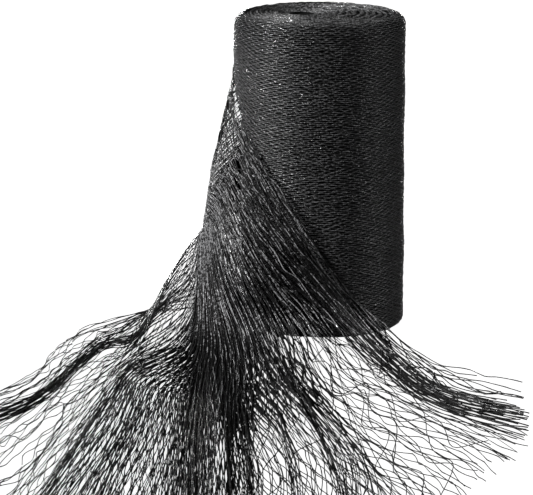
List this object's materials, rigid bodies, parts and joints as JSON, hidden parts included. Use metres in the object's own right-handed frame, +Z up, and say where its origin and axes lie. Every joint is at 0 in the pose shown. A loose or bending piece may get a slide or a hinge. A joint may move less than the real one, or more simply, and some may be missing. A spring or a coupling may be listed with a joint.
{
  "type": "bird netting roll",
  "caption": "Upright roll of bunched black knitted bird netting, its loose end drawn off the left side and fanned out flat in front.",
  "frame": {"origin": "middle of the roll's base, on the surface that it stands on", "axes": "+Z up along the roll's axis, -Y towards the side where the loose end is fanned out, +X to the right seen from there"},
  "size_m": [0.4628, 0.6792, 0.273],
  "materials": {
    "wound_net": "black knitted polyethylene net wound in bunched layers, with a dull sheen",
    "loose_net": "black knitted polyethylene net, open diamond mesh, with a dull sheen"
  },
  "bodies": {
    "root": {"roll": "wound_net", "loose_end": "loose_net"}
  },
  "joints": []
}
